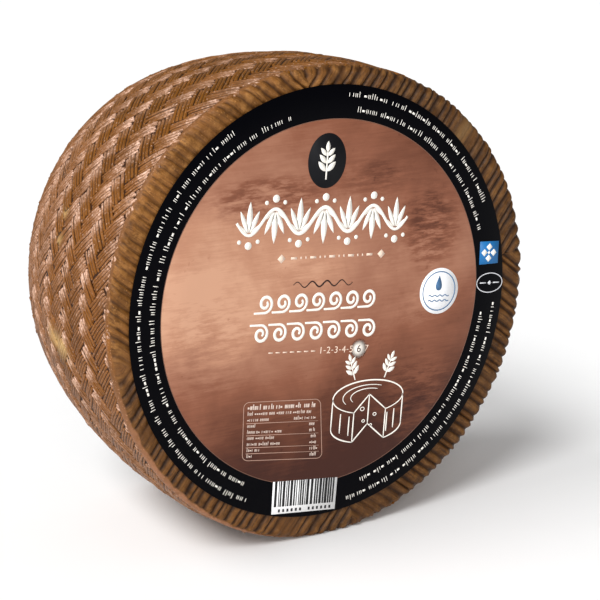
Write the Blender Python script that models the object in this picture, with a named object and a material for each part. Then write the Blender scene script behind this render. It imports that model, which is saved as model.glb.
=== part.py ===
"""Aged sheep cheese: a whole wheel that stands on its edge, with a round label on its face.

Units are metres, +Z is up. The wheel's axis lies along Y and the labelled face looks toward -Y.
Angles run round the wheel from +X toward +Z. Depth is measured from the labelled face's crests
along +Y, into the wheel. The origin is the bottom centre of the whole part's box.
"""

from math import asin, cos, pi, radians, sin, sqrt

import bmesh
import bpy
import numpy as np

MM = 0.001

# The wheel as a body of revolution: the labelled end is the wider one, and the side is barrelled
THICKNESS = 97.5 * MM
FRONT_RADIUS = 101.5 * MM
BACK_RADIUS = 94.2 * MM
BARREL_BULGE = 3.8 * MM
FRONT_SHOULDER = 4.0 * MM
BACK_SHOULDER = 5.0 * MM

# A hand-pressed wheel is out of round: a slight oval and a slight three-cornered shape
OVAL_HEIGHT = 0.7 * MM
OVAL_TURN = radians(-26)
TRIANGLE_HEIGHT = 0.8 * MM
TRIANGLE_TURN = radians(24)

# The small flat spot that the wheel rests on, cut this deep into its lowest place
FLAT_SPOT_DEPTH = 2.0 * MM
# How many depths are tried when the lowest place is looked for
DEPTH_TRIALS = 400

# Ridges that the pressing mat leaves on both faces, straight within each quarter
QUARTERS = 4
RIDGES_PER_QUARTER = 34
RIDGE_DEPTH = 1.25 * MM
RIDGE_DEPTH_AT_SIDE = 0.5 * MM
FRONT_CHEVRON_TURN = radians(6.8)
BACK_CHEVRON_TURN = radians(31)

# Herringbone that the plaited esparto belt leaves round the side
BELT_MARGIN = 1.0 * MM
BELT_COLUMNS = 9
STRANDS = 64
# Mesh lines across a strand as shares of its width: the groove, then both sides of the crest
STRAND_STEPS = (0.0, 0.27, 0.73)
STRAND_GROOVE = 0.95 * MM
STRAND_END_DROP = 0.4 * MM

# The label, a thin disc that lies on the ridges' crests, a little off the wheel's axis
LABEL_RADIUS = 91.5 * MM
LABEL_THICKNESS = 0.4 * MM
LABEL_GAP = 0.3 * MM
LABEL_SHIFT_X = -2.0 * MM
LABEL_SHIFT_Z = 0.7 * MM
LABEL_SIDES = 128

RIND_COLOUR = (0.35, 0.19, 0.08, 1.0)
RIND_ROUGHNESS = 0.62
LABEL_COLOUR = (0.45, 0.25, 0.16, 1.0)
LABEL_ROUGHNESS = 0.4


def clear_scene():
    """Remove every object that the open file holds."""
    for item in list(bpy.data.objects):
        bpy.data.objects.remove(item, do_unlink=True)


def make_material(name, colour, roughness):
    """Return a Principled material with one colour."""
    material = bpy.data.materials.new(name)
    material.use_nodes = True
    shader = material.node_tree.nodes["Principled BSDF"]
    shader.inputs["Base Color"].default_value = colour
    shader.inputs["Roughness"].default_value = roughness
    return material


def out_of_round(angle):
    """Height of the surface over a true circle at this angle round the wheel."""
    oval = OVAL_HEIGHT * cos(2 * (angle - OVAL_TURN))
    triangle = TRIANGLE_HEIGHT * cos(3 * (angle - TRIANGLE_TURN))
    return oval + triangle


def side_radius(depth):
    """Radius of the side at this depth: a straight taper plus a parabola for the barrel."""
    share = (depth - FRONT_SHOULDER) / (THICKNESS - FRONT_SHOULDER - BACK_SHOULDER)
    share = min(max(share, 0.0), 1.0)
    taper = FRONT_RADIUS + (BACK_RADIUS - FRONT_RADIUS) * share
    return taper + BARREL_BULGE * (1 - (2 * share - 1) ** 2)


def axis_height():
    """Height of the wheel's axis over the floor, once the flat spot is cut."""
    depths = np.linspace(0, THICKNESS, DEPTH_TRIALS)
    widest = max(side_radius(depth) for depth in depths)
    return widest + out_of_round(radians(270)) - FLAT_SPOT_DEPTH


def wheel_point(radius, depth, angle):
    """Point at a radius and depth, out of round, with the axis at the origin's height."""
    reach = radius + out_of_round(angle)
    return (reach * cos(angle), depth, reach * sin(angle))


class Wheel:
    """Collects the wheel's points and faces."""

    def __init__(self):
        self.points = []
        self.faces = []

    def add_point(self, point):
        self.points.append(point)
        return len(self.points) - 1

    def add_ring(self, radii, depths, angles):
        return [self.add_point(wheel_point(r, d, a)) for r, d, a in zip(radii, depths, angles)]

    def bridge(self, ring, next_ring):
        """Join two rings that have the same number of points."""
        count = len(ring)
        for k in range(count):
            n = (k + 1) % count
            self.faces.append((ring[k], ring[n], next_ring[n]))
            self.faces.append((ring[k], next_ring[n], next_ring[k]))

    def knit(self, ring, angles, next_ring, next_angles):
        """Join two rings with different counts, always taking the nearer next point."""
        count, next_count = len(ring), len(next_ring)
        first = min(range(next_count), key=lambda n: abs(turn_between(next_angles[n], angles[0])))
        start = angles[0] + turn_between(next_angles[first], angles[0])
        i, j = 0, 0
        while i < count or j < next_count:
            a = unrolled(angles, 0, i + 1, angles[0])
            b = unrolled(next_angles, first, j + 1, start)
            here, there = ring[i % count], next_ring[(first + j) % next_count]
            if j == next_count or (i < count and a <= b):
                i += 1
                self.faces.append((here, ring[i % count], there))
            else:
                j += 1
                self.faces.append((here, next_ring[(first + j) % next_count], there))


def turn_between(angle, reference):
    """Smallest turn from the reference to the angle."""
    return (angle - reference + pi) % (2 * pi) - pi


def unrolled(angles, first, steps, start):
    """Angle reached after some steps along a ring, counted on past a full turn."""
    count = len(angles)
    turned = (angles[(first + steps) % count] - angles[first]) % (2 * pi)
    if steps >= count:
        turned += 2 * pi
    return start + turned


def ridge_angles(turn):
    """Angles at which the straight crest and valley lines of a face reach its edge.

    Within a quarter the lines are parallel to its middle and evenly spaced, so the line at
    share s of the half width meets the edge circle at the angle whose sine is s / sqrt(2).
    """
    steps = 2 * RIDGES_PER_QUARTER
    angles = []
    for quarter in range(QUARTERS):
        middle = turn + (quarter + 0.5) * pi / 2
        for k in range(steps):
            angles.append(middle + asin((2 * k / steps - 1) / sqrt(2)))
    return angles


def add_ridged_face(wheel, edge, edge_radius, turn, crest_depth, inward):
    """Fill a face with straight ridges that meet as chevrons on four axes.

    Line k of a quarter starts on one of the two axes beside it, at the share |k - n| / n of the
    edge radius, and ends at point k of the edge. Odd lines are crests and even ones are valleys.
    """
    half = RIDGES_PER_QUARTER
    valley_depth = crest_depth + inward * RIDGE_DEPTH
    centre = wheel.add_point((0.0, valley_depth, 0.0))
    spokes = []
    for quarter in range(QUARTERS):
        angle = turn + quarter * pi / 2
        reach = edge_radius + out_of_round(angle)
        spoke = [centre]
        for m in range(1, half):
            depth = crest_depth if (half - m) % 2 else valley_depth
            share = reach * m / half
            spoke.append(wheel.add_point((share * cos(angle), depth, share * sin(angle))))
        spoke.append(edge[quarter * 2 * half])
        spokes.append(spoke)
    for quarter in range(QUARTERS):
        start, end = spokes[quarter], spokes[(quarter + 1) % QUARTERS]
        inner = [start[half - k] for k in range(half)] + [end[k] for k in range(half + 1)]
        rim = [edge[(quarter * 2 * half + k) % len(edge)] for k in range(2 * half + 1)]
        for k in range(2 * half):
            if inner[k] != rim[k]:
                wheel.faces.append((inner[k], rim[k], inner[k + 1]))
            if inner[k + 1] != rim[k + 1]:
                wheel.faces.append((rim[k], rim[k + 1], inner[k + 1]))


def add_shoulder(wheel, radius, shoulder, face_depth, inward, angles):
    """Three rings from the face's edge round to the side, with the ridges wrapped over them."""
    rings = []
    for step, relief in ((0.0, RIDGE_DEPTH), (0.5, RIDGE_DEPTH), (1.0, RIDGE_DEPTH_AT_SIDE)):
        tilt = step * pi / 2
        radii, depths = [], []
        for k in range(len(angles)):
            drop = 0.0 if k % 2 else relief
            reach = shoulder - drop
            radii.append(radius - shoulder + reach * sin(tilt))
            depths.append(face_depth + inward * (shoulder - reach * cos(tilt)))
        rings.append(wheel.add_ring(radii, depths, angles))
    for ring, next_ring in zip(rings, rings[1:]):
        wheel.bridge(ring, next_ring)
    return rings


def add_belt(wheel):
    """Herringbone pillows round the side: every strand leans one way, then the other.

    The mesh lines lean with the strands, so a groove runs along one line in three, and the
    crests are high in the middle of a column and lower where it meets the next one.
    """
    first = FRONT_SHOULDER + BELT_MARGIN
    last = THICKNESS - BACK_SHOULDER - BELT_MARGIN
    pitch = 2 * pi / STRANDS
    rings, ring_angles = [], []
    for step in range(2 * BELT_COLUMNS + 1):
        depth = first + (last - first) * step / (2 * BELT_COLUMNS)
        in_middle = step % 2 == 1
        lean = 0.5 if in_middle else (step // 2) % 2
        angles, radii = [], []
        for strand in range(STRANDS):
            for part, share in enumerate(STRAND_STEPS):
                angles.append((strand + share + lean) * pitch)
                crest_drop = 0.0 if in_middle else STRAND_END_DROP
                drop = STRAND_GROOVE if part == 0 else crest_drop
                radii.append(side_radius(depth) - drop)
        rings.append(wheel.add_ring(radii, [depth] * len(angles), angles))
        ring_angles.append(angles)
    for ring, next_ring in zip(rings, rings[1:]):
        wheel.bridge(ring, next_ring)
    return rings[0], ring_angles[0], rings[-1], ring_angles[-1]


def build_wheel():
    """Points and faces of the closed wheel, its axis at the origin's height."""
    wheel = Wheel()
    front_angles = ridge_angles(FRONT_CHEVRON_TURN)
    back_angles = ridge_angles(BACK_CHEVRON_TURN)
    front = add_shoulder(wheel, FRONT_RADIUS, FRONT_SHOULDER, 0.0, 1, front_angles)
    back = add_shoulder(wheel, BACK_RADIUS, BACK_SHOULDER, THICKNESS, -1, back_angles)
    front_edge = FRONT_RADIUS - FRONT_SHOULDER
    back_edge = BACK_RADIUS - BACK_SHOULDER
    add_ridged_face(wheel, front[0], front_edge, FRONT_CHEVRON_TURN, 0.0, 1)
    add_ridged_face(wheel, back[0], back_edge, BACK_CHEVRON_TURN, THICKNESS, -1)
    first_ring, first_angles, last_ring, last_angles = add_belt(wheel)
    wheel.knit(front[-1], front_angles, first_ring, first_angles)
    wheel.knit(back[-1], back_angles, last_ring, last_angles)
    return wheel


def box_centre(points):
    """Middle of the wheel's and the label's box in X, and in Y from the label to the back."""
    middle_x = (points[:, 0].max() + points[:, 0].min()) / 2
    middle_y = (THICKNESS - LABEL_GAP - LABEL_THICKNESS) / 2
    return middle_x, middle_y


def add_object(name, mesh, material):
    """Put a mesh into the scene as a named object with its material."""
    mesh.materials.append(material)
    item = bpy.data.objects.new(name, mesh)
    bpy.context.scene.collection.objects.link(item)
    return item


def make_cheese(wheel, points):
    """The wheel as one closed solid, its faces pointing out and its flat spot on the floor."""
    mesh = bpy.data.meshes.new("cheese")
    mesh.from_pydata(points.tolist(), [], wheel.faces)
    shape = bmesh.new()
    shape.from_mesh(mesh)
    bmesh.ops.recalc_face_normals(shape, faces=shape.faces)
    shape.to_mesh(mesh)
    shape.free()
    return add_object("cheese", mesh, make_material("rind", RIND_COLOUR, RIND_ROUGHNESS))


def make_label(middle_x, middle_y):
    """The label as a thin disc in front of the ridged face."""
    shape = bmesh.new()
    bmesh.ops.create_cone(
        shape,
        cap_ends=True,
        segments=LABEL_SIDES,
        radius1=LABEL_RADIUS,
        radius2=LABEL_RADIUS,
        depth=LABEL_THICKNESS,
    )
    mesh = bpy.data.meshes.new("label")
    shape.to_mesh(mesh)
    shape.free()
    material = make_material("label_print", LABEL_COLOUR, LABEL_ROUGHNESS)
    item = add_object("label", mesh, material)
    item.rotation_euler = (pi / 2, 0.0, 0.0)
    item.location = (
        LABEL_SHIFT_X - middle_x,
        -LABEL_GAP - LABEL_THICKNESS / 2 - middle_y,
        axis_height() + LABEL_SHIFT_Z,
    )
    return item


def main():
    clear_scene()
    wheel = build_wheel()
    points = np.array(wheel.points)
    middle_x, middle_y = box_centre(points)
    points += (-middle_x, -middle_y, axis_height())
    points[:, 2] = np.maximum(points[:, 2], 0.0)
    make_cheese(wheel, points)
    make_label(middle_x, middle_y)


main()
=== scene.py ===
"""Aged sheep cheese: the wheel's ridged faces, its plaited side and its printed label.

Laid out as an add-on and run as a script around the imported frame. Units are metres, +Z is up,
the wheel's axis lies along Y and the labelled face looks toward -Y. Angles run round the wheel
from +X toward +Z. Depth is measured from the labelled face's crests along +Y.
"""

from math import cos, pi, radians, sin, tau

import bmesh
import bpy
import numpy as np
from bpy.props import FloatProperty, FloatVectorProperty, IntProperty, PointerProperty
from mathutils import Matrix, Vector


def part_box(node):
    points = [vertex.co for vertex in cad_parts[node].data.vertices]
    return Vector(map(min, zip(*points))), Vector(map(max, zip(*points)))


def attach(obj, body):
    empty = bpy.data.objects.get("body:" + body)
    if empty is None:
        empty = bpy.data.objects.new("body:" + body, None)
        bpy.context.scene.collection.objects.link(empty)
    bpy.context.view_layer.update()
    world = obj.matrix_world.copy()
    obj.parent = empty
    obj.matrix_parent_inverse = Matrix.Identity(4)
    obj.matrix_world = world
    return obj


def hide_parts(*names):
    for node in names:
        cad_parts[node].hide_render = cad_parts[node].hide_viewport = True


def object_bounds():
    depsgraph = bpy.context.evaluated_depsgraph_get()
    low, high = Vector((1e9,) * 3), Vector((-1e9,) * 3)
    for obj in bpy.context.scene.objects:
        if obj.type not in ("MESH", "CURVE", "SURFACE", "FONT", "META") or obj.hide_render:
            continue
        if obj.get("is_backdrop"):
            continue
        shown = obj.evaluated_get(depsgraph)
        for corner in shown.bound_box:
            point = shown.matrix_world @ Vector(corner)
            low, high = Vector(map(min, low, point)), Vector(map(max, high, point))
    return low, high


bl_info = {
    "name": "Aged Sheep Cheese",
    "version": (1, 0, 0),
    "blender": (4, 5, 0),
    "location": "3D View > Sidebar > Cheese",
    "description": "Builds a whole aged sheep cheese with its rind, plait imprint and label",
    "category": "Add Mesh",
}

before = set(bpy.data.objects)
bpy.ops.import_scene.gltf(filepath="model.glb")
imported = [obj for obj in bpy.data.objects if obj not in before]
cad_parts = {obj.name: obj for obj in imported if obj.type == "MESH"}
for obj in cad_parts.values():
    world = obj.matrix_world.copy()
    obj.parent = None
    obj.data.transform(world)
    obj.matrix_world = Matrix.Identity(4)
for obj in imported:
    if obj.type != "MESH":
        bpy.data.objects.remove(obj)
CAD_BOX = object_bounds()

MM = 0.001

# The wheel, as the solid has it
THICKNESS = 97.5 * MM
FRONT_RADIUS = 101.5 * MM
BACK_RADIUS = 94.2 * MM
BARREL_BULGE = 3.8 * MM
FRONT_SHOULDER = 4.0 * MM
BACK_SHOULDER = 5.0 * MM
OVAL_HEIGHT, OVAL_TURN = 0.7 * MM, radians(-26)
TRIANGLE_HEIGHT, TRIANGLE_TURN = 0.8 * MM, radians(24)

# Ridges on the faces, and the heights that they reach as shares of a crest
QUARTERS = 4
RIDGES_PER_QUARTER = 34
FRONT_CHEVRON_TURN = radians(6.8)
BACK_CHEVRON_TURN = radians(31)
RIDGE_SHARES = np.array((0.0, 0.07, 0.2, 0.36, 0.5, 0.64, 0.8, 0.93))
HIGHEST_CREST = 1.08
PRESSED_HEIGHT = 0.62
BAND_HEIGHT = 0.8
BACK_SEED_STEP = 20

# The plait round the side, on a square lattice turned by 45 degrees
STRANDS = 64
STRAND_PITCH = tau / STRANDS
HALF_COLUMN = 4.95 * MM
FIRST_COLUMN_DEPTH = 9.0 * MM
COLUMN_DRIFT, COLUMN_DRIFT_TURN = 2.0 * MM, radians(157)
COLUMNS = range(-1, 10)
FIBRES_RISING, FIBRES_FALLING = 5, 4

# Where the wheel stands, found from the label's box and its offset from the wheel's axis
LABEL_SHIFT = np.array((-2.0, 0.7)) * MM
LABEL_GAP = 0.3 * MM
LABEL_LOW, LABEL_HIGH = (np.array(corner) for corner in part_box("label"))
LABEL_X, LABEL_Z = ((LABEL_LOW + LABEL_HIGH) / 2)[[0, 2]]
LABEL_FRONT, LABEL_BACK = LABEL_LOW[1], LABEL_HIGH[1]
LABEL_RADIUS = (LABEL_HIGH[0] - LABEL_LOW[0]) / 2
AXIS_X, AXIS_Z = np.array((LABEL_X, LABEL_Z)) - LABEL_SHIFT
FACE_MIDDLE = np.array((AXIS_X, LABEL_BACK + LABEL_GAP, AXIS_Z))

# Every print lies in one of these layers, counted out from the paper
LAYER = 0.045 * MM
PAPER_FRONT = LABEL_FRONT + 4 * LAYER

DISC_RADIUS = 77.1 * MM
DISC_SHIFT = np.array((-0.37, 0.33)) * MM
DISC_SIDES = 256
PRINT_TURN = radians(-4.9)
SPECK_SHADE = 0.875
TABLE_SEED, STRIPES_SEED, RING_SEED = 31, 17, 23


def tint(red, green, blue):
    """Linear colour of an 8-bit display colour, by the sRGB curve."""
    shares = np.array((red, green, blue)) / 255
    linear = np.where(shares <= 0.04045, shares / 12.92, ((shares + 0.055) / 1.055) ** 2.4)
    return tuple(float(value) for value in linear)


def colour_prop(name, description, colour):
    limits = {"min": 0.0, "max": 1.0, "size": 3, "subtype": "COLOR"}
    return FloatVectorProperty(
        name=name, description=description, default=tint(*colour), **limits
    )


def length_prop(name, description, millimetres):
    kind = {"min": 0.0, "unit": "LENGTH", "subtype": "DISTANCE"}
    return FloatProperty(name=name, description=description, default=millimetres * MM, **kind)


def strength_prop(name, description, strength):
    return FloatProperty(name=name, description=description, default=strength, min=0.0)


class RindSettings(bpy.types.PropertyGroup):
    """Sizes and colours of the rind."""

    ridge_depth: length_prop("Ridge depth", "From a face ridge's crest to its valley", 1.3)
    core_drop: length_prop("Groove depth", "From the plait's crests to its grooves", 0.7)
    fibre_depth: length_prop("Fibre depth", "From a fibre's top to the line beside it", 0.7)
    seed: IntProperty(name="Seed", description="Seed of the rind's unevenness", default=11, min=0)
    brown: colour_prop("Fibre", "Colour of the fibres' tops", (127, 77, 30))
    # Ochre: a yellowish brown that also paints shade on the floats at the top and the bottom of the
    # wheel
    ochre: colour_prop("Ochre", "Yellowish brown of the darker floats", (116, 71, 15))
    # Line and groove_shade are painted shade in the valleys between fibres; the line colour is also
    # painted shade in the plait's grooves and the colour of real pits
    line: colour_prop("Line", "Colour of the soft lines between brown fibres", (50, 26, 10))
    groove_shade: colour_prop("Groove", "Colour of the deep lines between ochre fibres", (28, 13, 3))
    # The tip colour is a painted highlight, partly real worn colour
    tip: colour_prop("Tip", "Pale pinkish colour of the fibres' raised ends", (238, 196, 172))
    band: colour_prop("Band", "Colour of the smooth band beside the plait", (118, 77, 43))
    ridge: colour_prop("Ridge", "Colour of the face ridges' crests", (116, 74, 32))
    # The valley colour is painted shade in the face ridges' valleys
    valley: colour_prop("Valley", "Colour of the face ridges' valleys", (48, 26, 7))
    pale: colour_prop("Pale patch", "Colour of the few pale patches", (216, 180, 120))


class LabelSettings(bpy.types.PropertyGroup):
    """Sizes and colours of the label."""

    line: length_prop("Fine line", "Width of the label's fine printed lines", 0.32)
    black: colour_prop("Ring", "Near-black ground of the ring", (1, 1, 4))
    white: colour_prop("White print", "White of the printed ornaments", (255, 250, 240))
    blue: colour_prop("Blue print", "Blue of the small square", (30, 112, 176))
    steel: colour_prop("Badge blue", "Duller blue of the badge's lines", (70, 110, 150))
    rim: colour_prop("Rim line", "Thin pale line round the copper disc", (122, 86, 70))


class StageSettings(bpy.types.PropertyGroup):
    """Light and floor."""

    floor: colour_prop("Floor", "Colour of the pale floor", (250, 250, 250))
    key: strength_prop("Key light", "Strength of the high light from the front left", 2.0)
    back: strength_prop("Back light", "Strength of the high light from the back left", 1.15)
    front: strength_prop("Front light", "Strength of the low light from the front", 1.5)
    sky: strength_prop("Sky", "Strength of the even light from all round", 0.29)


# Numbers and shapes


def smoothstep(low, high, value):
    """Rise from 0 at the low value to 1 at the high one, by 3 t squared less 2 t cubed."""
    share = np.clip((value - low) / (high - low), 0, 1)
    return share * share * (3 - 2 * share)


def bell(angle, middle, half):
    """Near 1 round a middle angle and near 0 away from it, both given in degrees.

    It is e to minus the fourth power of the turn from the middle over the half width.
    """
    away = (np.degrees(angle) - middle + 180) % 360 - 180
    return np.exp(-((away / half) ** 4))


def stack(*values):
    """Arrays and numbers side by side, as the last axis of one array."""
    return np.stack(np.broadcast_arrays(*values), -1)


def polar(radius, depth, angle):
    """Points at a radius and an angle round the Y axis, and at a depth along it."""
    return stack(radius * np.cos(angle), depth, radius * np.sin(angle))


def waves(points, size, seed, count=9):
    """Smooth unevenness of about -1 to 1: sines along random directions, with lengths near size."""
    rng = np.random.default_rng(seed)
    directions = rng.normal(size=(count, 3))
    directions /= np.linalg.norm(directions, axis=1)[:, None]
    lengths = size * rng.uniform(0.7, 1.7, count)
    phases = rng.uniform(0, tau, count)
    turns = points @ (directions / lengths[:, None]).T * tau
    return np.sin(turns + phases).sum(-1) / np.sqrt(count)


def out_of_round(angle):
    """Height over a true circle: a slight oval and a slight three-cornered shape."""
    oval = OVAL_HEIGHT * np.cos(2 * (angle - OVAL_TURN))
    return oval + TRIANGLE_HEIGHT * np.cos(3 * (angle - TRIANGLE_TURN))


def shoulder_shares(depth):
    """How far a depth lies into the front and the back shoulder, each from 0 to 1."""
    front = np.clip((FRONT_SHOULDER - depth) / FRONT_SHOULDER, 0, 1)
    back = np.clip((depth - THICKNESS + BACK_SHOULDER) / BACK_SHOULDER, 0, 1)
    return front, back


def skin_radius(depth):
    """Radius of the side: a straight taper from front to back, plus a parabola.

    At each shoulder it is less by what a quarter circle takes off.
    """
    share = (depth - FRONT_SHOULDER) / (THICKNESS - FRONT_SHOULDER - BACK_SHOULDER)
    share = np.clip(share, 0, 1)
    taper = FRONT_RADIUS + (BACK_RADIUS - FRONT_RADIUS) * share
    front, back = (1 - np.sqrt(1 - part**2) for part in shoulder_shares(depth))
    cut = FRONT_SHOULDER * front + BACK_SHOULDER * back
    return taper + BARREL_BULGE * (1 - (2 * share - 1) ** 2) - cut


def place(radius, depth, angle):
    """World points at a radius, depth and angle of the wheel, out of round as the wheel is."""
    return polar(radius + out_of_round(angle), depth, angle) + FACE_MIDDLE


def on_skin(depth, angle):
    """World points of the side's skin."""
    return place(skin_radius(depth), depth, angle)


def raised(height, depth, angle):
    """World points at a height over the side's skin, along its normal round the shoulders too."""
    front, back = shoulder_shares(depth)
    outward = np.sqrt(1 - front**2 - back**2)
    return place(skin_radius(depth) + height * outward, depth + height * (back - front), angle)


def spots(angle, depth, places):
    """Sum of soft round patches, each of an angle, a depth, their two half sizes and a strength.

    Angles are in degrees and depths in millimetres. A patch fades as a Gaussian does.
    """
    total = np.zeros(np.broadcast(angle, depth).shape)
    for at_angle, at_depth, wide, deep, strength in places:
        turn = (angle - radians(at_angle) + pi) % tau - pi
        reach = (turn / radians(wide)) ** 2 + ((depth - at_depth * MM) / (deep * MM)) ** 2
        total += strength * np.exp(-reach)
    return total


def ring_quads(rings, count):
    """Faces between closed rings of as many points each, which lie one after another."""
    near = np.arange(rings - 1)[:, None] * count
    ring = np.arange(count)
    after = (ring + 1) % count
    quads = np.stack([near + ring, near + count + ring, near + count + after, near + after], -1)
    return quads.reshape(-1, 4)


# Meshes and materials


def make_piece(name, points, faces, material, node, marks=None, run=None, smooth=True):
    """Mesh piece from a point array and face arrays, one array for each corner count."""
    loops = np.concatenate([group.ravel() for group in faces]).astype(np.int32)
    counts = np.concatenate([np.full(len(group), group.shape[1]) for group in faces])
    starts = np.concatenate(([0], np.cumsum(counts)[:-1])).astype(np.int32)
    mesh = bpy.data.meshes.new(name)
    mesh.vertices.add(len(points))
    mesh.vertices.foreach_set("co", np.ascontiguousarray(points, dtype=np.float32).ravel())
    mesh.loops.add(len(loops))
    mesh.loops.foreach_set("vertex_index", loops)
    mesh.polygons.add(len(counts))
    mesh.polygons.foreach_set("loop_start", starts)
    attributes = (("marks", "FLOAT_COLOR", "color", marks), ("run", "FLOAT_VECTOR", "vector", run))
    for key, kind, field, values in attributes:
        if values is not None:
            layer = mesh.attributes.new(key, kind, "POINT")
            layer.data.foreach_set(field, np.ascontiguousarray(values, dtype=np.float32).ravel())
    mesh.update(calc_edges=True)
    if smooth:
        mesh.shade_smooth()
    return finish_piece(name, mesh, material, node)


def finish_piece(name, mesh, material, node):
    """Link a finished mesh as a piece that rides on the cheese and stands for a CAD node."""
    mesh.materials.append(material)
    piece = bpy.data.objects.new(name, mesh)
    bpy.context.scene.collection.objects.link(piece)
    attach(piece, "root")
    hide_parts(node)
    return piece


def merge_doubles(piece):
    """Join points that lie within a micrometre of each other."""
    shape = bmesh.new()
    shape.from_mesh(piece.data)
    bmesh.ops.remove_doubles(shape, verts=shape.verts, dist=1e-6)
    bmesh.ops.dissolve_degenerate(shape, edges=shape.edges, dist=1e-7)
    shape.to_mesh(piece.data)
    shape.free()
    piece.data.shade_smooth()


class Shader:
    """Builds the nodes of one Principled material."""

    def __init__(self, name, **values):
        self.material = bpy.data.materials.new(name)
        self.material.use_nodes = True
        self.tree = self.material.node_tree
        self.sockets = self.tree.nodes["Principled BSDF"].inputs
        self.set(**values)

    def set(self, **values):
        """Set or link the shader's own sockets, with underscores for the spaces in their names."""
        for name, value in values.items():
            self.feed(self.sockets[name.replace("_", " ")], value)

    def feed(self, socket, value):
        """Link a socket or set its value. A colour is given by three numbers."""
        if isinstance(value, bpy.types.NodeSocket):
            self.tree.links.new(value, socket)
        else:
            socket.default_value = (*value, 1.0) if socket.type == "RGBA" else value

    def node(self, kind, inputs=None, **settings):
        """Add a node, set its settings, and set or link its inputs."""
        made = self.tree.nodes.new(kind)
        for key, value in settings.items():
            setattr(made, key, value)
        for key, value in (inputs or {}).items():
            self.feed(made.inputs[key], value)
        return made

    def join(self, operation, first, *others):
        """Result of a row of math nodes that take in one value after another."""
        for other in others:
            made = self.node("ShaderNodeMath", {0: first, 1: other}, operation=operation)
            first = made.outputs[0]
        return first

    def product(self, *values):
        return self.join("MULTIPLY", *values)

    def total(self, *values):
        return self.join("ADD", *values)

    def mix(self, share, first, second, blend="MIX"):
        inputs = {0: share, 6: first, 7: second}
        made = self.node("ShaderNodeMix", inputs, data_type="RGBA", blend_type=blend)
        return made.outputs[2]

    def coats(self, colour, *coats):
        """A colour under coats that are mixed in one after another, each a share and a colour."""
        for share, coat in coats:
            colour = self.mix(share, colour, coat)
        return colour

    def curve(self, value, low, high, to_low=0.0, to_high=1.0):
        """Smooth step of a value from one range to another."""
        inputs = {0: value, 1: low, 2: high, 3: to_low, 4: to_high}
        made = self.node("ShaderNodeMapRange", inputs, interpolation_type="SMOOTHSTEP")
        return made.outputs[0]

    def coordinates(self, location=(0, 0, 0), scale=(1, 1, 1)):
        """Object coordinates through a Mapping node: scaled, then shifted."""
        source = self.node("ShaderNodeTexCoord").outputs["Object"]
        inputs = {"Vector": source, "Location": location, "Scale": scale}
        return self.node("ShaderNodeMapping", inputs).outputs[0]

    def split(self, vector):
        """The X, Y and Z parts of a vector."""
        return tuple(self.node("ShaderNodeSeparateXYZ", {0: vector}).outputs)

    def noise(self, scale, detail=3.0, roughness=0.55, vector=None, distortion=0.0):
        """Noise value of 0 to 1 over Object coordinates, or over another vector."""
        inputs = {
            "Vector": vector or self.node("ShaderNodeTexCoord").outputs["Object"],
            "Scale": scale,
            "Detail": detail,
            "Roughness": roughness,
            "Distortion": distortion,
        }
        return self.node("ShaderNodeTexNoise", inputs).outputs[0]

    def stretched(self, across, up, detail, roughness):
        """Noise with so many grains a metre across the face and up it."""
        return self.noise(1.0, detail, roughness, self.coordinates(scale=(across, 1, up)))

    def along_run(self, across, along):
        """Noise drawn out along the piece's run, with so many grains a metre each way."""
        source = self.node("ShaderNodeAttribute", attribute_name="run").outputs["Vector"]
        scaled = self.node("ShaderNodeMapping", {"Vector": source, "Scale": (across, along, 1)})
        return self.noise(1.0, 3.0, 0.6, scaled.outputs[0])

    def marks(self):
        """The four channels of the piece's marks attribute."""
        source = self.node("ShaderNodeAttribute", attribute_name="marks")
        parts = self.node("ShaderNodeSeparateColor", {0: source.outputs["Color"]}).outputs
        return *parts, source.outputs["Alpha"]

    def ball(self, x, z, wide, high):
        """1 at a place of the face, down to 0 at a half width and a half height from it."""
        spot = self.coordinates((-x / wide, 0, -z / high), (1 / wide, 0, 1 / high))
        return self.node("ShaderNodeTexGradient", {0: spot}, gradient_type="SPHERICAL").outputs[1]

    def relief(self, *layers):
        """Bump layers, the lowest first: a height, its distance in millimetres, a strength."""
        under = {}
        for height, distance, strength in layers:
            inputs = {"Height": height, "Distance": distance * MM, "Strength": strength}
            under = {"Normal": self.node("ShaderNodeBump", inputs | under).outputs[0]}
        self.set(**under)


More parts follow.
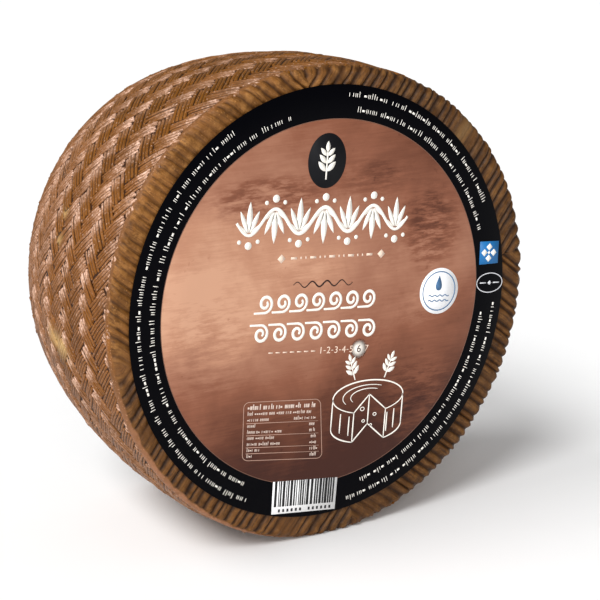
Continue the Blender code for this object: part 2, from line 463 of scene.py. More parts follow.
def side_material(name, rind):
    """Brown or ochre fibres with darker lines between them, and pale pinkish ends.

    The darker lines are painted shade in the fibres' valleys, deepest where the ochre share is
    high, and the ochre share also paints shade on the floats at the top and the bottom of the
    wheel. The pale pinkish ends are a painted highlight, partly real worn colour, and the pale
    specks on the crests are painted glints.

    The marks are: fibre height, pinkness (the painted highlight), ochre share, pale patch.
    """
    shader = Shader(name, Roughness=0.5, Specular_IOR_Level=0.1)
    height, pink, ochre, pale = shader.marks()
    broad = shader.noise(38.0, 3.0)
    cloud = shader.noise(150.0, 4.0, 0.6)
    grain = shader.noise(900.0, 3.0, 0.65)
    hair = shader.along_run(2100.0, 150.0)
    pit = shader.curve(shader.noise(420.0, 2.0, 0.5), 0.36, 0.26)
    # Painted highlight, partly real worn colour: the pale pinkish ends, broken up by noise
    highlight_and_wear = shader.product(
        pink,
        shader.curve(cloud, 0.3, 0.6, 0.45, 1.0),
        shader.curve(hair, 0.66, 0.44, 0.35, 1.0),
        shader.curve(grain, 0.36, 0.6, 0.3, 1.0),
    )
    # Painted glints: pale specks on the fibres' crests, most where the painted highlight lies
    speck = shader.product(
        shader.curve(grain, 0.58, 0.7),
        shader.curve(height, 0.5, 1.0),
        shader.curve(pink, 0.0, 0.8, 0.36, 0.9),
    )
    # The ochre share is partly painted shade, darkening the floats toward the top and the bottom
    fibre = shader.coats(
        shader.mix(ochre, rind.brown, rind.ochre),
        (shader.curve(broad, 0.4, 0.68, 0.0, 0.5), tint(92, 55, 18)),
        (shader.curve(cloud, 0.42, 0.72, 0.0, 0.45), tint(148, 94, 42)),
        (shader.curve(hair, 0.5, 0.72, 0.0, 0.65), tint(60, 33, 12)),
        (highlight_and_wear, rind.tip),
    )
    # Painted shade in the fibres' valleys: the line colour, or the darker groove_shade colour where
    # the ochre share is high
    brown = shader.coats(
        shader.mix(ochre, rind.line, rind.groove_shade),
        (shader.curve(height, 0.12, 0.92), fibre),
        (speck, tint(236, 202, 182)),
        (shader.product(pit, 0.6), rind.line),
        (pale, rind.pale),
    )
    shader.set(Base_Color=brown, Roughness=shader.curve(grain, 0.3, 0.7, 0.36, 0.62))
    shader.relief((grain, 0.14, 0.9), (hair, 0.16, 0.8), (cloud, 0.7, 0.7))
    return shader.material


def face_material(name, rind):
    """Ochre-brown ridges with dark valleys, a smooth band round them, and dark grooves. The dark
    valleys and the dark grooves between the plait's floats are painted shade.

    At the lower left the ridges are more golden and the band is paler and pinkish. Painted light
    and shade lie over the ridges: palest at the upper left and darkest toward the lower right. Pale
    specks on the crests are painted glints.

    The marks are: height, band share (0.5 is the band, 1 the plait's grooves), worn, pale.
    """
    shader = Shader(name, Roughness=0.55, Specular_IOR_Level=0.2)
    height, band, worn, pale = shader.marks()
    broad = shader.noise(45.0, 3.0)
    cloud = shader.noise(190.0, 4.0, 0.6)
    grain = shader.noise(1100.0, 3.0, 0.6)
    hair = shader.along_run(1300.0, 110.0)
    x, _, z = shader.split(shader.coordinates())
    lower_left = shader.product(shader.curve(z, 0.090, 0.045), shader.curve(x, 0.005, -0.035))
    pinkish = shader.product(lower_left, shader.curve(cloud, 0.3, 0.65, 0.25, 0.9))
    # Painted light and shade on the ridges: lighter toward the upper left, darker toward the lower
    # right
    painted_light_and_shade = shader.curve(shader.join("SUBTRACT", x, z), -0.226, -0.151, 1.38, 0.66)
    speck = shader.curve(grain, 0.56, 0.7, 0.0, 0.5)
    # Painted shade: the ridges' valleys, darkened by the height mark
    valley = shader.mix(shader.curve(cloud, 0.4, 0.7), rind.valley, tint(66, 37, 10))
    crest = shader.coats(
        rind.ridge,
        (shader.curve(broad, 0.35, 0.65), tint(92, 57, 20)),
        (shader.curve(cloud, 0.42, 0.7, 0.0, 0.7), tint(142, 98, 50)),
        (shader.product(lower_left, 0.45), tint(140, 88, 32)),
        (shader.curve(hair, 0.44, 0.7, 0.0, 0.7), valley),
    )
    ridges = shader.coats(
        valley,
        (shader.curve(height, 0.02, 0.78), crest),
        (shader.product(worn, 0.6), tint(112, 72, 38)),
        # Painted glints: pale specks on the ridges' crests
        (shader.product(speck, shader.curve(height, 0.5, 1.0)), tint(166, 120, 70)),
    )
    smooth = shader.coats(
        rind.band,
        (shader.curve(cloud, 0.4, 0.7, 0.0, 0.6), tint(98, 63, 32)),
        (worn, tint(134, 82, 30)),
        (pinkish, tint(150, 102, 72)),
        (speck, tint(196, 148, 116)),
    )
    brown = shader.coats(
        shader.mix(1.0, ridges, painted_light_and_shade, "MULTIPLY"),
        (shader.curve(band, 0.0, 0.5), smooth),
        # Painted shade in the grooves between the plait's floats
        (shader.curve(band, 0.5, 1.0), rind.line),
        (pale, rind.pale),
    )
    shader.set(Base_Color=brown, Roughness=shader.curve(grain, 0.3, 0.7, 0.42, 0.66))
    shader.relief((grain, 0.12, 0.8), (hair, 0.22, 0.8), (cloud, 0.7, 0.7))
    return shader.material


# The rind

# Places where the ridges are pressed flat: angle, depth, half sizes in degrees and
# millimetres, strength
FLAT_PLACES = (
    (45, 0, 4.5, 9, 0.8),
    (187, 0, 2.4, 9, 0.85),
    (205.5, 0, 2.5, 9, 0.7),
    (257.5, 0, 3.5, 9, 0.75),
    (283, 0, 6, 8, 0.5),
    (330, 0, 3, 8, 0.4),
    (126, 0, 3, 8, 0.5),
    (160, 60, 5, 9, 0.5),
    (60, 97, 5, 9, 0.7),
    (235, 97, 6, 9, 0.6),
    (300, 97, 4, 8, 0.6),
)
# Pale patches of the rind, given like the flat places
PALE_PLACES = (
    (188, 47, 2.2, 4.5, 0.75),
    (187, 56, 2.0, 6.0, 0.6),
    (163, 53, 1.2, 2.2, 0.55),
    (157, 54, 1.0, 2.0, 0.5),
    (45, 0, 1.8, 5, 0.12),
    (20, 62, 2.5, 5, 0.6),
    (318, 30, 2.0, 5, 0.5),
)
PALEST = 0.8
# Orange-brown stretches of the smooth band, given like the flat places
ORANGE_PLACES = (
    (180.5, 1.8, 5, 2.2, 1.0),
    (120, 1.2, 22, 1.8, 0.75),
    (20, 1.5, 18, 2.0, 0.6),
    (300, 1.5, 14, 2.0, 0.6),
    (90, 96, 20, 2.5, 0.7),
    (250, 96, 16, 2.5, 0.7),
)
# Where the rings of points lie on the faces, in millimetres from the middle, round the
# shoulders, as shares of the quarter circle, and how many there are along the side
FRONT_RINGS = np.array((0, 45, 80, 87, 89.5, 91, 92.3, 93.6, 94.8, 96, 96.9)) * MM
BACK_RINGS = np.array((88.4, 87, 85, 82, 78, 73, 67, 60, 52, 43, 33, 22, 11, 0)) * MM
SHOULDER_RINGS = (0.0, 0.08, 0.16, 0.25, 0.34, 0.43, 0.53, 0.63, 0.73, 0.82, 0.91, 1.0)
SIDE_RINGS = 18


def pale_share(angle, depth):
    return np.clip(spots(angle, depth, PALE_PLACES), 0, PALEST)


def ridge_end(angle):
    """Share of the shoulder's quarter circle at which the ridges fade out, at each angle.

    They reach furthest on the right, less far at the upper left and least at the lower left.
    """
    upper_left, lower_left = bell(angle, 135, 40), bell(angle, 218, 38)
    return 0.74 + 0.32 * bell(angle, 22, 58) - 0.16 * upper_left - 0.42 * lower_left


class Face:
    """A ridged face with its shoulder, as rings of points that cross its ridge lines.

    The lines of a quarter are parallel to its middle. The line at share s of the half width
    lies s / sqrt(2) of the edge's radius off the middle. Two slow sines make the spacing uneven.
    A ring is a row of radius, depth, angle, height, band share, worn share and run.
    """

    def __init__(self, rind, turn, radius, shoulder, depth, inward, seed):
        self.ridge_depth, self.seed = rind.ridge_depth, seed
        self.shoulder, self.depth, self.inward = shoulder, depth, inward
        self.edge = radius - shoulder
        across = (np.arange(RIDGES_PER_QUARTER)[:, None] + RIDGE_SHARES).ravel()
        middles = turn + (np.arange(QUARTERS) + 0.5) * pi / 2
        middle = np.repeat(middles, len(across))
        across = np.tile(across, QUARTERS)
        uneven = 0.13 * np.sin(1.9 * across + 3 * middle)
        uneven += 0.09 * np.sin(3.1 * across + 5 * middle)
        uneven *= np.minimum(1, np.minimum(across, RIDGES_PER_QUARTER - across))
        offset = ((across + uneven) / RIDGES_PER_QUARTER * 2 - 1) / np.sqrt(2)
        self.middle, self.off = middle, offset * self.edge
        self.share = np.tile(RIDGE_SHARES, QUARTERS * RIDGES_PER_QUARTER)
        self.angle = middle + np.arcsin(offset)

    def height(self, radius, depth, angle):
        """Height of the ridges from 0 in a valley to 1 on a crest: a sine to the 1.2, uneven.

        At the upper left the valleys are filled by almost half. The second result is how far
        the ridges are pressed flat.
        """
        flat = polar(radius, depth, angle)
        uneven = 1 + 0.17 * waves(flat, 5 * MM, self.seed)
        uneven += 0.14 * waves(flat, 22 * MM, self.seed + 1)
        pressed = np.clip(spots(angle, depth, FLAT_PLACES), 0, 1)
        filled = 0.45 * bell(angle, 146, 42)
        crest = np.sin(pi * self.share) ** 1.2 * uneven * (1 - filled) + BAND_HEIGHT * filled
        return crest * (1 - pressed) + PRESSED_HEIGHT * pressed, pressed

    def sink(self, height):
        """How deep a height of the ridges lies under the highest crests."""
        return self.ridge_depth * (1 - np.minimum(height, HIGHEST_CREST))

    def rings(self, radii):
        """Rings at the given radii, where each ridge line crosses a circle or starts on a spoke.

        Along its line a point lies at the root of radius squared less offset squared, and never
        nearer to the centre than the spoke, where that length equals the offset.
        """
        rings = []
        for radius in radii:
            along = np.sqrt(np.maximum(radius**2 - self.off**2, self.off**2))
            reach = np.hypot(along, self.off)
            angle = self.middle + np.arctan2(self.off, along)
            height, pressed = self.height(reach, self.depth, angle)
            swell = waves(polar(reach, 0, angle), 30 * MM, self.seed + 5)
            sink = self.sink(height) + 0.12 * MM * (1 + swell)
            inner = reach + out_of_round(angle) * (reach / self.edge - 1)
            depth = self.depth + self.inward * sink
            rings.append((inner, depth, angle, height, 0, pressed, (self.off, reach)))
        return rings

    def shoulder_angle(self, tilt):
        """Angle of each ridge line at a share of the shoulder's quarter circle.

        A line that crosses the edge at a slant keeps that slant: its angle falls by the slant's
        tangent times the arc length over the edge's radius, less and less toward a spoke.
        """
        slant = self.angle - self.middle
        spokes = 1 - (np.abs(slant) / (pi / 4)) ** 4
        return self.angle - np.tan(slant) * spokes * self.shoulder * tilt * pi / 2 / self.edge

    def shoulder_rings(self, tilts):
        """Rings round the shoulder, between the face's edge and the side.

        On the way to the side the ridges fade into the smooth band.
        """
        rim = waves(polar(self.edge, 0, self.angle), 6 * MM, self.seed + 9)
        fade_from = ridge_end(self.angle) + 0.05 * rim
        rings = []
        for tilt in tilts:
            turned_by = tilt * pi / 2
            angle = self.shoulder_angle(tilt)
            depth = self.depth + self.inward * self.shoulder * (1 - cos(turned_by))
            along = self.edge + self.shoulder * sin(turned_by)
            height, pressed = self.height(along, depth, angle)
            fade = smoothstep(fade_from, fade_from + 0.17, tilt)
            height = height * (1 - fade) + BAND_HEIGHT * fade
            reach = self.shoulder - (1 - 0.3 * tilt) * self.sink(height) - 0.1 * MM
            level = self.depth + self.inward * (self.shoulder - reach * cos(turned_by))
            worn = pressed * (1 - fade) + spots(angle, level, ORANGE_PLACES) * fade
            run = self.off, along + self.shoulder * turned_by
            radius = self.edge + reach * sin(turned_by)
            rings.append((radius, level, angle, height, 0.5 * fade, np.clip(worn, 0, 1), run))
        return rings


def side_rings(rind, front, back):
    """Rings of the side, which lie lower where the plait's floats cover them."""
    rings = []
    first, last = FRONT_SHOULDER + 0.5 * MM, THICKNESS - BACK_SHOULDER - 0.5 * MM
    first_angle, last_angle = front.shoulder_angle(1.0), back.shoulder_angle(1.0)
    for share in np.linspace(0, 1, SIDE_RINGS):
        depth = first + share * (last - first)
        angle = first_angle + (last_angle - first_angle) * share
        plait = plait_share(angle, depth)
        drop = (0.1 + 0.15 * (1 - plait)) * MM + rind.core_drop * plait
        drop = drop + 0.07 * MM * waves(on_skin(depth, angle), 3 * MM, rind.seed + 3)
        worn = spots(angle, depth, ORANGE_PLACES)
        run = angle * FRONT_RADIUS, depth
        radius = skin_radius(depth) - drop
        # Where the plait shows, the band share turns toward the painted shade of the grooves
        rings.append((radius, depth, angle, BAND_HEIGHT, 0.5 + 0.5 * plait, worn, run))
    return rings


def build_body(rind):
    """One closed skin of rings over the front face, the side and the back face."""
    front = Face(rind, FRONT_CHEVRON_TURN, FRONT_RADIUS, FRONT_SHOULDER, 0.0, 1, rind.seed)
    seed = rind.seed + BACK_SEED_STEP
    back = Face(rind, BACK_CHEVRON_TURN, BACK_RADIUS, BACK_SHOULDER, THICKNESS, -1, seed)
    rings = front.rings(FRONT_RINGS) + front.shoulder_rings(SHOULDER_RINGS)
    rings += side_rings(rind, front, back)
    rings += back.shoulder_rings(SHOULDER_RINGS[::-1]) + back.rings(BACK_RINGS)
    points, marks, runs = [], [], []
    for radius, depth, angle, height, band, worn, run in rings:
        points.append(place(radius, depth, angle))
        marks.append(stack(np.clip(height, 0, 1), band, worn, pale_share(angle, depth)))
        runs.append(stack(*run, 0 * angle))
    parts = (np.concatenate(part) for part in (points, marks, runs))
    return [ring_quads(len(rings), len(front.angle))], *parts


def plait_share(angle, depth):
    """Share from 0 to 1 to which the plait's imprint shows.

    It starts late at the lower left and on the right, where a smooth band is wider.
    """
    late = bell(angle, 226, 36) + bell(angle, 10, 72)
    start = (0.6 + 2.5 * late) * MM
    back = THICKNESS - depth
    return smoothstep(start, start + 1.2 * MM, depth) * smoothstep(1.6 * MM, 3.4 * MM, back)


def float_grid(fibres):
    """Across and along positions of one float's grid, with the fibre heights across.

    Each fibre has a valley and two shoulders, so its top is rounded between sharp lines.
    """
    cell = np.array((0.0, 0.27, 0.73))
    across = (np.arange(fibres)[:, None] + cell).ravel()
    across = np.append(across, fibres) / fibres - 0.5
    top = np.append(np.tile((0.0, 1.0, 1.0), fibres), 0.0)
    fibre = np.append(np.repeat(np.arange(fibres), len(cell)), fibres - 1)
    along = np.array((-1.0, -0.93, -0.74, 0.0, 0.74, 0.93, 1.0))
    return across, top, fibre, along


def float_faces(rows, wide, count, flipped):
    """Quads of the floats' grids, and one many-cornered face that closes each from below."""
    index = np.arange(rows * wide).reshape(rows, wide)
    quads = np.stack([index[:-1, :-1], index[1:, :-1], index[1:, 1:], index[:-1, 1:]], -1)
    loop = np.concatenate([index[0, :], index[1:, -1], index[-1, -2::-1], index[-2:0:-1, 0]])
    first = np.arange(count)[:, None, None] * rows * wide
    order = -1 if flipped else 1
    groups = (quads.reshape(-1, 4)[:, ::order], loop[None, ::order])
    return [(first + group).reshape(-1, group.shape[1]) for group in groups]


def build_floats(rind, rising):
    """Floats of the plait that lean one way, as closed pads that are sunk into the skin.

    A float covers two cells of the lattice along its fibres and one across. A cell step along
    the rising axis adds half a strand to the angle and half a column to the depth, and a step
    along the falling axis adds the same angle and takes that depth off.
    """
    rng = np.random.default_rng(rind.seed + (1 if rising else 2))
    fibres = FIBRES_RISING if rising else FIBRES_FALLING
    across, top, fibre, along = float_grid(fibres)
    columns = [c for c in COLUMNS if (c % 2 == 0) == rising]
    column, strand = (grid.ravel() for grid in np.meshgrid(columns, np.arange(STRANDS)))
    centre = (strand + (0.75 if rising else 0.25)) * STRAND_PITCH
    deep = FIRST_COLUMN_DEPTH + 2 * HALF_COLUMN * column
    deep = deep + COLUMN_DRIFT * np.sin(centre - COLUMN_DRIFT_TURN)
    count = len(centre)

    def spread(values):
        return np.asarray(values)[:, None, None]

    def for_each(middle, deviation):
        """A random value for each float."""
        return spread(middle + rng.normal(0, deviation, count))

    length = 1 + rng.normal(0, 0.09, (count, 1, fibres))[:, :, fibre]
    u = along[None, :, None] * (length * for_each(1, 0.03))
    bend = rng.normal(0, 0.018, (count, len(along), 1))
    v = across[None, None, :] * for_each(1.03, 0.02) + bend
    slide = for_each(0, 0.03)
    p, q = (u + slide, v) if rising else (v, u + slide)
    angle = spread(centre) + (p + q) / 2 * STRAND_PITCH
    depth = spread(deep) + (p - q) * HALF_COLUMN

    fibre_level = rng.normal(0, 0.15, (count, 1, fibres))[:, :, fibre] * MM
    level = for_each(0, 0.07) * MM
    end = np.abs(along)[None, :, None]
    crown = 0.12 * MM * (2 * np.abs(across)) ** 3 + 0.2 * MM * smoothstep(0.5, 1.0, end)
    height = level + fibre_level * top - crown - rind.fibre_depth * (1 - top)
    rim = (end > 0.99) | (np.abs(across)[None, None, :] > 0.49)
    height = np.where(rim, -(rind.core_drop + 0.45 * MM), height)
    margin = plait_share(angle, depth)
    # What lies past the plait's edge is drawn together under the skin
    inside = np.clip(depth, 0.7 * MM, THICKNESS - 1.2 * MM)
    depth = inside + 0.03 * (depth - inside)
    swell = waves(on_skin(depth, angle), 16 * MM, rind.seed + 7)
    height = height + 0.1 * MM * swell - 0.12 * MM - 1.9 * MM * (1 - margin)

    # The pinkness is a painted highlight, partly real worn colour; the ochre share is partly
    # painted shade
    pink, ochre = float_colours(angle, depth, u, rising)
    ochre = np.clip(ochre + spread(rng.uniform(-0.16, 0.16, count)), 0, 1)
    pink = np.clip(pink * spread(rng.uniform(0.75, 1.15, count)), 0, 1)
    marks = stack(top, pink, ochre, pale_share(angle, depth))
    across_at = 2 * HALF_COLUMN * v + spread(np.arange(count) * 0.1)
    run = stack(across_at, 2 * HALF_COLUMN * u, 0.0)

    shown = margin.max((1, 2)) > 0.1
    faces = float_faces(len(along), len(across), shown.sum(), not rising)
    arrays = (raised(height, depth, angle), marks, run)
    return faces, *(values[shown].reshape(-1, values.shape[-1]) for values in arrays)


def float_colours(angle, depth, along, rising):
    """Pinkness and ochre share of the floats, which change twice round the wheel.

    Each is half of one plus the cosine of twice the angle past its turn. The pinkness is a painted
    highlight, partly real worn colour, and it grows toward a float's upper end. The ochre share is
    partly painted shade, highest at the top and the bottom of the wheel. At the lower left, and far
    from the label, the highlight's contrast is less and an even pinkish share lies over the floats.
    """
    def zone(turn):
        return 0.5 + 0.5 * np.cos(2 * (angle - radians(turn)))

    # Pinkness is a painted highlight and the ochre share is partly painted shade, both set by the
    # angle round the wheel
    if rising:
        pink = zone(134) ** 2.6 * (0.04 + 0.96 * smoothstep(0.3, -0.8, along))
        ochre = 0.15 + 0.6 * zone(85)
    else:
        pink = 1.3 * zone(190) ** 1.2 * smoothstep(0.1, -0.85, along)
        ochre = 0.2 + 0.8 * zone(98)
    dull = bell(angle, 232, 34)
    pink = pink * (1 - 0.85 * dull) + 0.25 * dull
    far = smoothstep(52 * MM, 76 * MM, depth) * (0.25 + 0.75 * zone(190))
    return np.minimum(1, pink * (1 - 0.45 * far) + 0.19 * far), ochre * (1 - 0.4 * far)


def rind_piece(name, built, material, height):
    """Piece of the rind, whose lowest place is cut flat at a height over the floor."""
    faces, points, marks, run = built
    points[:, 2] = np.maximum(points[:, 2], height)
    return make_piece(name, points, faces, material, "cheese", marks, run)


class CHEESE_OT_rind_body(bpy.types.Operator):
    """Build the wheel's closed skin with its ridged faces"""

    bl_idname = "cheese.rind_body"
    bl_label = "Rind body"

    def execute(self, context):
        rind = context.scene.cheese_rind
        material = face_material("rind_ridges", rind)
        merge_doubles(rind_piece("rind_body", build_body(rind), material, 0.3 * MM))
        return {"FINISHED"}


class CHEESE_OT_plait(bpy.types.Operator):
    """Build the plait imprint round the side: floats that rise and floats that fall"""

    bl_idname = "cheese.plait"
    bl_label = "Plait imprint"

    def execute(self, context):
        rind = context.scene.cheese_rind
        material = side_material("rind_fibres", rind)
        for name, rising in (("plait_rising", True), ("plait_falling", False)):
            rind_piece(name, build_floats(rind, rising), material, 0.0)
        return {"FINISHED"}


# The label's prints


def turned(points, angle, centre=(0.0, 0.0)):
    """Label points in millimetres, turned anticlockwise about the origin, then shifted."""
    points = np.asarray(points, float)
    turn = np.array(((cos(angle), sin(angle)), (-sin(angle), cos(angle))))
    return points @ turn + np.asarray(centre, float)


def ellipse(width, height, count=48, start=0.0, sweep=360.0):
    """Points of an ellipse or of a part of it: half width by cosine, half height by sine."""
    closed = abs(sweep) >= 360
    angle = radians(start) + radians(sweep) * np.linspace(0, 1, count, endpoint=not closed)
    return stack(width / 2 * np.cos(angle), height / 2 * np.sin(angle))


def on_label(flat, y):
    """World points of label points, at a place along Y."""
    flat = np.asarray(flat, float)
    return stack(LABEL_X + flat[..., 0] * MM, y, LABEL_Z + flat[..., 1] * MM)


class Print:
    """Collects thin slabs and ribbons that lie on the label, in millimetres from its centre."""

    def __init__(self, layer):
        self.front = PAPER_FRONT - layer * LAYER
        self.points, self.faces, self.count = [], {}, 0

    def keep(self, flat, faces):
        """Store a shape's front and back points, with faces that count from the first of them."""
        for face in faces:
            face = np.atleast_2d(face)
            self.faces.setdefault(face.shape[1], []).append(face + self.count)
        self.points += [on_label(flat, self.front), on_label(flat, self.front + LAYER)]
        self.count += 2 * len(flat)

    def slab(self, outline):
        """Filled shape from an anticlockwise outline."""
        count = len(outline)
        here = np.arange(count)
        after = (here + 1) % count
        sides = np.stack([here, here + count, after + count, after], -1)
        self.keep(outline, [here, (here + count)[::-1], sides])

    def ribbon(self, path, width, closed=False):
        """Line of even or changing width along a path: each side lies half a width off it."""
        path = np.asarray(path, float)
        if closed:
            step = np.roll(path, -1, 0) - np.roll(path, 1, 0)
        else:
            step = np.gradient(path, axis=0)
        step /= np.linalg.norm(step, axis=1)[:, None]
        aside = stack(-step[:, 1], step[:, 0]) * np.reshape(width, (-1, 1)) / 2
        count = len(path)
        here = np.arange(count if closed else count - 1)
        after = (here + 1) % count
        left, right, back = here, here + count, 2 * count
        faces = [
            stack(left, right, after + count, after),
            stack(left + back, after + back, after + count + back, right + back),
            stack(left, after, after + back, left + back),
            stack(right, right + back, after + count + back, after + count),
        ]
        if not closed:
            last = count - 1
            faces.append(np.array((0, back, back + count, count)))
            faces.append(np.array((last, last + count, last + count + back, last + back)))
        self.keep(np.concatenate([path + aside, path - aside]), faces)

    def bars(self, centres, widths, heights, angles):
        """Many small upright bars at once, each turned by its own angle."""
        centres = np.asarray(centres, float)
        widths, heights, angles, _ = np.broadcast_arrays(widths, heights, angles, centres[:, 0])
        corner = np.array(((-0.5, -0.5), (0.5, -0.5), (0.5, 0.5), (-0.5, 0.5)))
        local = corner[None] * stack(widths, heights)[:, None]
        c, s = np.cos(angles)[:, None], np.sin(angles)[:, None]
        x = local[..., 0] * c - local[..., 1] * s + centres[:, :1]
        y = local[..., 0] * s + local[..., 1] * c + centres[:, 1:]
        base = np.arange(len(centres))[:, None] * 4
        back = 4 * len(centres)
        faces = [base + (0, 1, 2, 3), base + (back + 3, back + 2, back + 1, back)]
        faces += [base + (k, back + k, back + n, n) for k, n in ((0, 1), (1, 2), (2, 3), (3, 0))]
        self.keep(stack(x, y).reshape(-1, 2), faces)

    def make(self, name, material):
        groups = [np.concatenate(group) for group in self.faces.values()]
        points = np.concatenate(self.points)
        return make_piece(name, points, groups, material, "label", smooth=False)


def print_material(name, colour, roughness=0.42, gloss=0.3):
    """Printing ink: one colour, a little darker in specks, with a faint paper grain."""
    shader = Shader(name, Roughness=roughness, Specular_IOR_Level=gloss)
    speck = shader.noise(1400.0, 2.0)
    share = shader.product(speck, shader.noise(60.0, 2.0))
    darker = tuple(value * SPECK_SHADE for value in colour)
    shader.set(Base_Color=shader.mix(share, colour, darker))
    shader.relief((speck, 0.01, 0.5))
    return shader.material


# The copper disc's soft darker and lighter places, in shares of its radius from its centre:
# place across, place up, half width, half height, how much light it adds
COPPER_PLACES = (
    (0.68, 0.34, 0.26, 0.32, -0.26),
    (0.40, 0.22, 0.16, 0.14, -0.07),
    (-0.38, 0.62, 0.46, 0.16, -0.26),
    (0.30, 0.66, 0.34, 0.16, -0.12),
    (0.62, -0.10, 0.26, 0.16, 0.07),
    (-0.10, -0.62, 0.40, 0.14, -0.04),
    (0.60, -0.66, 0.36, 0.40, 0.15),
    (-0.72, -0.10, 0.40, 0.40, 0.10),
    (-0.10, 0.20, 0.34, 0.16, 0.06),
)
# The copper's colour at each amount of light
COPPER_STOPS = (
    (0.36, (64, 34, 26)),
    (0.50, (97, 56, 40)),
    (0.66, (133, 83, 62)),
    (0.80, (160, 111, 88)),
    (0.92, (182, 132, 105)),
    (1.00, (200, 152, 124)),
)


def copper_material(name):
    """Printed copper plate, brightest at the left, with clouds, scratches and specks."""
    shader = Shader(name, Roughness=0.4, Specular_IOR_Level=0.15)
    centre = np.array((LABEL_X, LABEL_Z)) + DISC_SHIFT
    x, z = -centre / DISC_RADIUS
    shares = shader.coordinates((x, 0, z), (1 / DISC_RADIUS, 0, 1 / DISC_RADIUS))
    across, _, up = shader.split(shares)
    light = shader.product(
        shader.curve(up, -1.0, 0.25, 0.40, 1.0),
        shader.curve(up, 0.2, 0.95, 1.0, 0.74),
        shader.curve(across, -0.75, 0.85, 1.0, 0.75),
        shader.curve(across, -1.05, -0.6, 0.97, 1.0),
    )
    ragged = shader.curve(shader.stretched(80, 360, 6.0, 0.7), 0.36, 0.62)
    for *spot, wide, high, amount in COPPER_PLACES:
        x, z = centre + np.array(spot) * DISC_RADIUS
        ball = shader.ball(x, z, wide * DISC_RADIUS, high * DISC_RADIUS)
        part = shader.product(shader.curve(ball, 0.0, 0.7), ragged, amount)
        light = shader.total(light, part)
    cloud = shader.noise(2.4, 5.0, 0.6, shares, 0.4)
    streak = shader.stretched(60, 900, 4.0, 0.7)
    scratch = shader.curve(shader.stretched(22, 2400, 2.0, 0.5), 0.66, 0.74)
    light = shader.total(
        light,
        shader.curve(cloud, 0.25, 0.75, -0.07, 0.07),
        shader.curve(streak, 0.3, 0.7, -0.022, 0.022),
        shader.product(scratch, shader.curve(cloud, 0.45, 0.6), -0.09),
        shader.product(shader.curve(shader.noise(260.0, 3.0), 0.66, 0.76), -0.06),
    )
    ramp = shader.node("ShaderNodeValToRGB", {0: light})
    elements = ramp.color_ramp.elements
    while len(elements) < len(COPPER_STOPS):
        elements.new(0.5)
    for element, (position, colour) in zip(elements, COPPER_STOPS):
        element.position = position
        element.color = (*tint(*colour), 1.0)
    shader.set(Base_Color=ramp.outputs[0], Roughness=shader.curve(streak, 0.3, 0.7, 0.36, 0.5))
    shader.relief((streak, 0.02, 0.6))
    return shader.material


def disc_piece(name, radius, shift, front, back, material, bevel):
    """Round flat piece: rings from the front's centre over a small rounded rim to the back."""
    radii = [radius * share for share in (0.0, 0.3, 0.6, 0.85)]
    radii += [radius - bevel, radius - 0.3 * bevel, radius, radius, radius - bevel, 0.0]
    depths = [front] * 5 + [front + 0.3 * bevel, front + bevel, back - 0.2 * bevel, back, back]
    angle = np.arange(DISC_SIDES) / DISC_SIDES * tau
    points = polar(np.array(radii)[:, None], np.array(depths)[:, None], angle).reshape(-1, 3)
    points = points + (LABEL_X + shift[0], 0, LABEL_Z + shift[1])
    quads = ring_quads(len(radii), DISC_SIDES)
    merge_doubles(make_piece(name, points, [quads], material, "label"))


class CHEESE_OT_label_paper(bpy.types.Operator):
    """Build the black label and its copper disc"""

    bl_idname = "cheese.label_paper"
    bl_label = "Label paper"

    def execute(self, context):
        label = context.scene.cheese_label
        black = print_material("label_black", label.black, 0.34, gloss=0.05)
        disc_piece("label_paper", LABEL_RADIUS, (0, 0), PAPER_FRONT, LABEL_BACK, black, 0.06 * MM)
        front = PAPER_FRONT - LAYER
        copper = copper_material("label_copper")
        disc_piece("copper_disc", DISC_RADIUS, DISC_SHIFT, front, PAPER_FRONT, copper, 0.02 * MM)
        rim = Print(1)
        size = 2 * DISC_RADIUS / MM + 0.3
        rim.ribbon(ellipse(size, size, DISC_SIDES) + DISC_SHIFT / MM, 0.24, closed=True)
        rim.make("disc_rim_line", print_material("label_rim", label.rim))
        return {"FINISHED"}


def leaf(length, width, base, angle, count=9):
    """Outline of a pointed leaf: its half width is the sine of the share along it to the 0.8."""
    share = np.linspace(0, 1, count)
    half = width / 2 * np.sin(pi * share) ** 0.8 * (1.15 - 0.3 * share)
    upper = stack(share * length, half)[-2:0:-1]
    return turned(np.concatenate([stack(share * length, -half), upper]), angle, base)


def sprig(mark, centre, height, turn):
    """Upright sprig: a thin stem with three pairs of leaves and one at its tip."""
    def at(x, y):
        return turned((x * height, y * height), turn, centre)

    mark.ribbon(np.linspace(at(0, -0.5), at(0, 0.24), 8), height * 0.045)
    for level in (-0.28, -0.07, 0.13):
        for side in (-1, 1):
            tilt = radians(90 - side * 44) + turn
            size = height * (0.36 - 0.18 * (level + 0.28))
            mark.slab(leaf(size, size * 0.42, at(side * 0.02, level), tilt))
    mark.slab(leaf(height * 0.3, height * 0.13, at(0, 0.22), radians(90) + turn))


class CHEESE_OT_label_emblem(bpy.types.Operator):
    """Build the black oval with a white sprig, at the top of the disc"""

    bl_idname = "cheese.label_emblem"
    bl_label = "Label emblem"

    def execute(self, context):
        label = context.scene.cheese_label
        centre = (-0.4, 60.7)
        oval, mark = Print(2), Print(3)
        oval.slab(turned(ellipse(18.3, 22.6, 64), PRINT_TURN, centre))
        oval.make("emblem_oval", print_material("emblem_black", tint(24, 24, 27), 0.5, gloss=0.08))
        sprig(mark, centre, 15.5, PRINT_TURN)
        mark.make("emblem_sprig", print_material("emblem_white", label.white))
        return {"FINISHED"}


